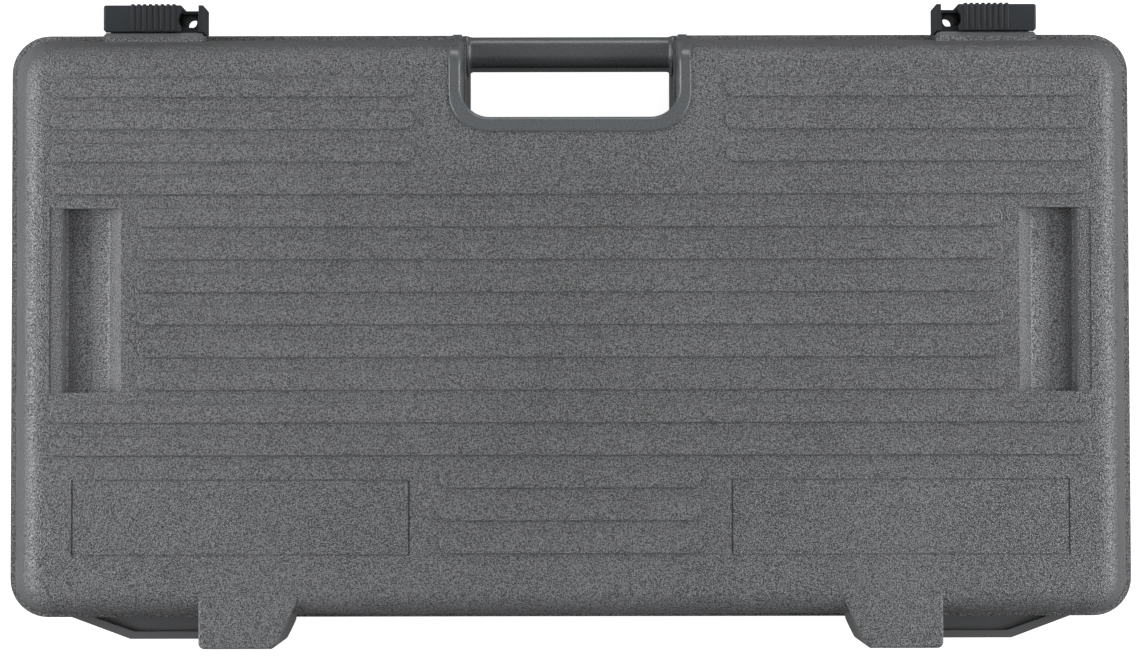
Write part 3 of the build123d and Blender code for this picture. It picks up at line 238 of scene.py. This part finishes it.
def smooth_plastic(name, colour, roughness, edge=0.4):
    """Smooth moulded plastic: faint flow marks, and edges rounded by edge millimetres."""
    tree = Tree(name)
    flow = tree.noise(26.0, detail=3.0, distortion=0.6)
    dust = tree.noise(900.0, detail=1.0)
    bevel = tree.add("Bevel", {"Radius": edge * MM}, samples=4).outputs["Normal"]
    return tree.surface(
        Base_Color=tree.ramp(flow, tint(colour, 0.92), tint(colour, 1.08)),
        Roughness=tree.span(dust, 0.3, 0.7, roughness - 0.04, roughness + 0.06),
        Normal=tree.bump(dust, 0.08, 0.05 * MM, bevel),
    )


def metal(name, colour, roughness):
    """Plated or drawn steel with fine handling marks."""
    tree = Tree(name)
    marks = tree.noise(700.0, detail=3.0)
    return tree.surface(
        Base_Color=tree.ramp(marks, tint(colour, 0.85), tint(colour, 1.0)),
        Metallic=1.0,
        Roughness=tree.span(marks, 0.3, 0.7, roughness - 0.06, roughness + 0.1),
        Normal=tree.bump(marks, 0.15, 0.03 * MM),
    )


def rubber(name):
    """Matt black rubber with a fine speckle."""
    tree = Tree(name)
    speck = tree.noise(1400.0)
    return tree.surface(
        Base_Color=tree.ramp(speck, (0.018, 0.018, 0.018, 1.0), (0.032, 0.032, 0.033, 1.0)),
        Roughness=0.78,
        Normal=tree.bump(speck, 0.25, 0.08 * MM),
    )


def foam_material(name):
    """Open-cell foam: pores in a matt, slightly fuzzy skin, with painted shade darkening the
    pores.
    """
    tree = Tree(name)
    pores = tree.span(tree.voronoi(820.0, "SMOOTH_F1"), 0.05, 0.5)
    cells = tree.noise(1900.0)
    mottle = tree.noise(30.0, detail=3.0)
    height = tree.math("ADD", pores, tree.math("MULTIPLY", cells, 0.6))
    # Painted shade: the colour darkens into the pores' pits, with a random mottle over it.
    shade = tree.math("ADD", tree.math("MULTIPLY", pores, 0.6), tree.math("MULTIPLY", mottle, 0.4))
    return tree.surface(
        Base_Color=tree.ramp(shade, (0.012, 0.012, 0.013, 1.0), (0.052, 0.053, 0.057, 1.0)),
        Roughness=0.95,
        Specular_IOR_Level=0.2,
        Sheen_Weight=0.25,
        Sheen_Roughness=0.6,
        Normal=tree.bump(height, 0.8, 0.5 * MM),
    )


def board_material(name):
    """Solder-masked circuit board with faint copper tracks below the mask."""
    tree = Tree(name)
    bricks = {"Vector": tree.coords, "Scale": 90.0, "Mortar Size": 0.08}
    tracks = tree.add("TexBrick", bricks).outputs["Fac"]
    return tree.surface(
        Base_Color=tree.ramp(tracks, (0.006, 0.085, 0.03, 1.0), (0.02, 0.16, 0.06, 1.0)),
        Roughness=0.3,
        Normal=tree.bump(tracks, 0.3, 0.05 * MM),
    )


SHELL_GREY = (0.113, 0.115, 0.119)
# The keepers' grey is painted lighter than the shell's: painted light in place of the light that
# the latch sliders shade off.
KEEPER_PAINTED_LIGHT_GREY = (0.165, 0.168, 0.173)
RIM_GREY = (0.094, 0.101, 0.106)
STAND_GREY = (0.110, 0.112, 0.116)
LATCH_GREY = (0.019, 0.023, 0.027)
BOX_GREY = (0.035, 0.035, 0.037)
SOCKET_BLACK = (0.015, 0.015, 0.016)
ZINC = (0.62, 0.62, 0.64)
STEEL = (0.56, 0.56, 0.58)
NICKEL = (0.75, 0.73, 0.69)

# One for each of the record's material slots, and one more for the keepers, whose grey is painted
# lighter as painted light.
MATERIALS = {
    "grained_shell": grained_plastic("grained_shell_finish", SHELL_GREY),
    "keeper_painted_light_finish": grained_plastic("keeper_painted_light_finish", KEEPER_PAINTED_LIGHT_GREY, KEEPER_LEDGE_Y),
    "smooth_plastic": smooth_plastic("smooth_plastic_finish", RIM_GREY, 0.28, 0.9),
    "latch_plastic": smooth_plastic("latch_plastic_finish", LATCH_GREY, 0.42, 0.35),
    "stand_plastic": smooth_plastic("stand_plastic_finish", STAND_GREY, 0.5),
    "zinc_screws": metal("zinc_finish", ZINC, 0.32),
    "steel_pin": metal("steel_finish", STEEL, 0.25),
    "rubber": rubber("rubber_finish"),
    "foam": foam_material("foam_finish"),
    "box_plastic": smooth_plastic("box_plastic_finish", BOX_GREY, 0.5),
    "board": board_material("board_finish"),
    "socket_plastic": smooth_plastic("socket_plastic_finish", SOCKET_BLACK, 0.22, 0.3),
    "nickel": metal("nickel_finish", NICKEL, 0.18),
}

for part in frame["record"]["subparts"]:
    # The keepers get the grained finish in a lighter grey: painted light.
    keeper = part["node"].startswith("lid_keeper")
    finish = "keeper_painted_light_finish" if keeper else part["material_slot"]
    materials = nodes[part["node"]].data.materials
    materials.clear()
    materials.append(MATERIALS[finish])


# ---- foam lining -----------------------------------------------------------------------------
FOAM_VOXEL = 5 * MM
FOAM_DENT = 0.35 * MM

EGG_PITCH = 30 * MM             # from peak to peak
EGG_DEPTH = 13 * MM             # from peak to valley
EGG_STEP = 3.5 * MM             # width of a mesh square
EGG_RIM = 8 * MM                # width of the rounded edge of the crate's face
EGG_RIM_DROP = 2.5 * MM         # how far the face falls back at its edge


def apply_modifiers(piece):
    """Bakes a piece's modifiers into its mesh."""
    result = piece.evaluated_get(bpy.context.evaluated_depsgraph_get())
    shape = bpy.data.meshes.new_from_object(result)
    piece.modifiers.clear()
    piece.data = shape


def lay_pad(piece, node, body):
    """Shades a finished foam pad and lets it ride its body in the CAD pad's place."""
    piece.data.polygons.foreach_set("use_smooth", [True] * len(piece.data.polygons))
    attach(piece, body)
    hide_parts(node)


def dent(x, y):
    """How far a cut foam face dips at a place, in long uneven waves."""
    one = math.sin(x * 41 + 2 * math.sin(y * 23))
    other = math.sin(y * 57 + 2 * math.sin(x * 31))
    return abs(FOAM_DENT * (one + other))


def foam_pad(node, body):
    """A cut foam pad in a CAD solid's place: soft edges and a gently uneven cut face."""
    piece = bpy.data.objects.new(node + "_pad", nodes[node].data.copy())
    scene.collection.objects.link(piece)
    piece.data.materials.clear()
    piece.data.materials.append(MATERIALS["foam"])
    bpy.context.view_layer.objects.active = piece
    piece.select_set(True)
    piece.data.remesh_voxel_size = FOAM_VOXEL
    bpy.ops.object.voxel_remesh()
    piece.select_set(False)
    low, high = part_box(node)
    middle = (low.z + high.z) / 2
    for vertex in piece.data.vertices:
        x, y, z = vertex.co
        inwards = -1 if z > middle else 1
        vertex.co.x = min(high.x, max(low.x, x))
        vertex.co.y = min(high.y, max(low.y, y))
        vertex.co.z = min(high.z, max(low.z, z)) + inwards * dent(x, y)
    smooth = piece.modifiers.new("smooth", "SMOOTH")
    smooth.factor = 0.5
    smooth.iterations = 3
    apply_modifiers(piece)
    lay_pad(piece, node, body)


def egg_crate_face(shape, low, high):
    """Adds the crate's wavy face to a mesh, between two corners of the pad's box."""
    width = high.x - low.x
    depth = high.y - low.y
    steps_x = round(width / EGG_STEP)
    steps_y = round(depth / EGG_STEP)
    waves_x = round(width / EGG_PITCH)
    waves_y = round(depth / EGG_PITCH)
    columns = []
    for i in range(steps_x + 1):
        column = []
        for j in range(steps_y + 1):
            u = i / steps_x
            v = j / steps_y
            wave = math.cos(2 * math.pi * waves_x * u) * math.cos(2 * math.pi * waves_y * v)
            inset = min(1.0, min(u, 1 - u) * width / EGG_RIM, min(v, 1 - v) * depth / EGG_RIM)
            drop = EGG_RIM_DROP * (1 - math.sin(inset * math.pi / 2))
            z = low.z + EGG_DEPTH * (0.5 - 0.5 * wave) + drop
            column.append(shape.verts.new((low.x + u * width, low.y + v * depth, z)))
        columns.append(column)
    for near, far in zip(columns, columns[1:]):
        for j in range(steps_y):
            shape.faces.new((near[j], near[j + 1], far[j + 1], far[j]))


def open_edges(shape):
    return [edge for edge in shape.edges if edge.is_boundary]


def egg_crate_pad(node, body):
    """The lid's foam: flat against the lid, with rows of rounded peaks facing the pedals."""
    low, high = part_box(node)
    shape = bmesh.new()
    egg_crate_face(shape, low, high)
    for item in bmesh.ops.extrude_edge_only(shape, edges=open_edges(shape))["geom"]:
        if isinstance(item, bmesh.types.BMVert):
            item.co.z = high.z
    bmesh.ops.contextual_create(shape, geom=open_edges(shape))
    bmesh.ops.recalc_face_normals(shape, faces=shape.faces)
    mesh = bpy.data.meshes.new(node + "_pad")
    shape.to_mesh(mesh)
    shape.free()
    mesh.materials.append(MATERIALS["foam"])
    piece = bpy.data.objects.new(node + "_pad", mesh)
    scene.collection.objects.link(piece)
    lay_pad(piece, node, body)


BASE_PADS = (
    "floor_foam",
    "rear_foam_strip",
    "front_foam_left",
    "front_foam_right",
    "side_foam_left",
)

for node in BASE_PADS:
    foam_pad(node, "base")
egg_crate_pad("lid_foam", "lid")


# ---- floor, light and camera -----------------------------------------------------------------
FLOOR_REACH = 12.0              # from the middle to each edge
FLOOR_GAP = 0.5 * MM            # between the feet and the floor


def pale_floor():
    """A white light table under the case. It glows to the eye, but doesn't light the case."""
    tree = Tree("floor_finish")
    tree.surface(
        Base_Color=(0.42, 0.42, 0.42, 1.0),
        Roughness=0.9,
        Specular_IOR_Level=0.0,
        Emission_Color=(1.0, 1.0, 1.0, 1.0),
        Emission_Strength=0.9,
    )
    mesh = bpy.data.meshes.new("floor")
    reach = FLOOR_REACH
    corners = [(-reach, -reach, 0), (reach, -reach, 0), (reach, reach, 0), (-reach, reach, 0)]
    mesh.from_pydata(corners, [], [(0, 1, 2, 3)])
    mesh.materials.append(tree.material)
    floor = bpy.data.objects.new("floor", mesh)
    floor.location.z = cad_box[0][2] - FLOOR_GAP
    floor.visible_diffuse = False
    floor.visible_glossy = False
    scene.collection.objects.link(floor)


LIT_POINT = (0.0, 0.0, 0.1)     # the middle of the case, which every light faces
SURROUND = 0.125                # strength of the world's light
END_BOX = (1.4, 0.6)            # sizes of the soft boxes
SIDE_BOX = (1.4, 0.5)
CEILING_BOX = (2.2, 1.2)


def area_light(name, place, size, power):
    """A rectangular soft light at a place, turned to face the case."""
    lamp = bpy.data.lights.new(name, "AREA")
    lamp.shape = "RECTANGLE"
    lamp.size, lamp.size_y = size
    lamp.energy = power
    light = bpy.data.objects.new(name, lamp)
    light.location = place
    facing = Vector(LIT_POINT) - Vector(place)
    light.rotation_euler = facing.to_track_quat("-Z", "Y").to_euler()
    light.visible_camera = False
    scene.collection.objects.link(light)


def studio():
    """Two strong soft boxes low beside the case's ends, one at its handle, and weak fill.

    The fill is a box above each end, one behind, one overhead and a dim surround.
    """
    world = bpy.data.worlds.new("studio")
    scene.world = world
    world.use_nodes = True
    surround = world.node_tree.nodes["Background"].inputs
    surround["Color"].default_value = (1.0, 1.0, 1.0, 1.0)
    surround["Strength"].default_value = SURROUND
    area_light("overhead", (0.0, 0.4, 2.8), CEILING_BOX, 3.0)
    area_light("box_left", (-1.5, 0.0, 0.62), END_BOX, 29.5)
    area_light("box_right", (1.5, 0.0, 0.62), END_BOX, 26.0)
    area_light("high_left", (-1.4, 0.0, 1.6), END_BOX, 3.5)
    area_light("high_right", (1.4, 0.0, 1.6), END_BOX, 4.5)
    area_light("box_front", (0.3, 1.6, 0.7), SIDE_BOX, 12.5)
    area_light("box_rear", (0.0, -1.6, 0.7), SIDE_BOX, 3.0)


CAMERA_HEIGHT = 1.951           # above the surface the case stands on
CAMERA_Y = -0.0653              # a little towards the hinge side
FOCAL_IN_WIDTHS = 2.717         # focal length over the picture's width
SENSOR = 36.0                   # mm
TILT = math.radians(1.9)
ROLL = math.radians(-0.10)
CLIP_END = 50.0


def camera():
    """Above the closed lid, almost straight down, with the handle at the top of the picture."""
    lens = bpy.data.cameras.new("camera")
    lens.sensor_width = SENSOR
    lens.lens = SENSOR * FOCAL_IN_WIDTHS
    lens.clip_end = CLIP_END
    eye = bpy.data.objects.new("camera", lens)
    eye.location = (0.0, CAMERA_Y, CAMERA_HEIGHT)
    eye.rotation_euler = Euler((TILT, 0.0, ROLL))
    scene.collection.objects.link(eye)
    scene.camera = eye


scene.view_settings.view_transform = "Standard"
pale_floor()
studio()
camera()
